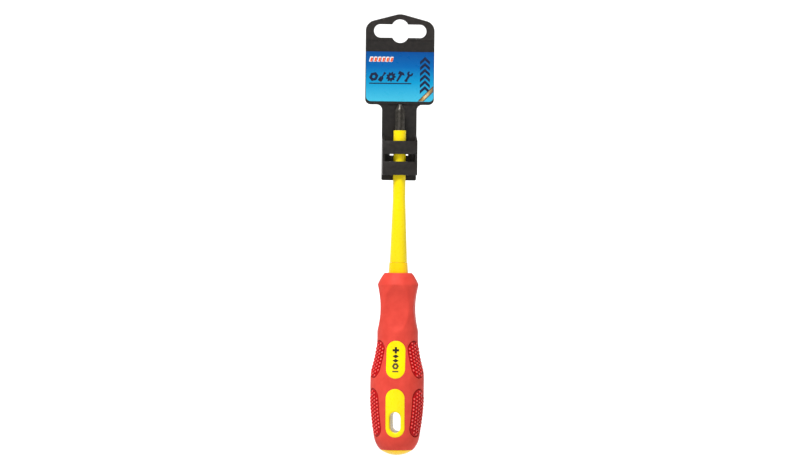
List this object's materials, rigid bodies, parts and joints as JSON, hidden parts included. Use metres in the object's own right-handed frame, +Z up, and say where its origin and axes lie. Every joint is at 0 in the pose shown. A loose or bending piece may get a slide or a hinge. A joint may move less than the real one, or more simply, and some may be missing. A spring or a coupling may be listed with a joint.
{
  "type": "insulated screwdriver",
  "caption": "Cross-head insulated screwdriver with a two-colour soft-grip handle, held by its shaft in the clip of a retail hanger with a euro slot.",
  "frame": {"origin": "centre of the hanger's euro slot, on the hanger's flat back", "axes": "+Z up as the object hangs, along the driver's axis towards the blade's tip; -Y is the hanger's front, +X its right as seen from the front"},
  "size_m": [0.0414, 0.0329, 0.2653],
  "materials": {
    "hanger_black": "satin black polypropylene, fine moulded texture",
    "label_print": null,
    "insulation_yellow": "smooth moulded insulating plastic",
    "blade_steel": "phosphated dark chrome-vanadium steel, brighter on the wings",
    "core_natural": "natural moulded plastic, hidden",
    "grip_red": "matte soft-touch elastomer",
    "pad_crimson": "soft elastomer with a lattice of round nubs"
  },
  "bodies": {
    "hanger": {"hanger": "hanger_black", "header_label": "label_print"},
    "sleeve": {"blade_sleeve": "insulation_yellow"},
    "driver": {"blade": "blade_steel", "tang_core": "core_natural", "handle_core": "insulation_yellow", "soft_grip": "grip_red", "end_cap": "insulation_yellow", "upper_pad_front_right": "pad_crimson", "upper_pad_front_left": "pad_crimson", "upper_pad_back_right": "pad_crimson", "upper_pad_back_left": "pad_crimson", "lower_pad_front_right": "pad_crimson", "lower_pad_front_left": "pad_crimson", "lower_pad_back_right": "pad_crimson", "lower_pad_back_left": "pad_crimson"}
  },
  "joints": [
    {"name": "clip_slide", "type": "slide", "parent": "hanger", "child": "sleeve", "axis": [0, 0, -1], "range_m": [-0.015, 0.048]},
    {"name": "clip_turn", "type": "hinge", "parent": "sleeve", "child": "driver", "pos_m": [0, -0.00595, -0.1], "axis": [0, 0, 1], "continuous": true}
  ]
}
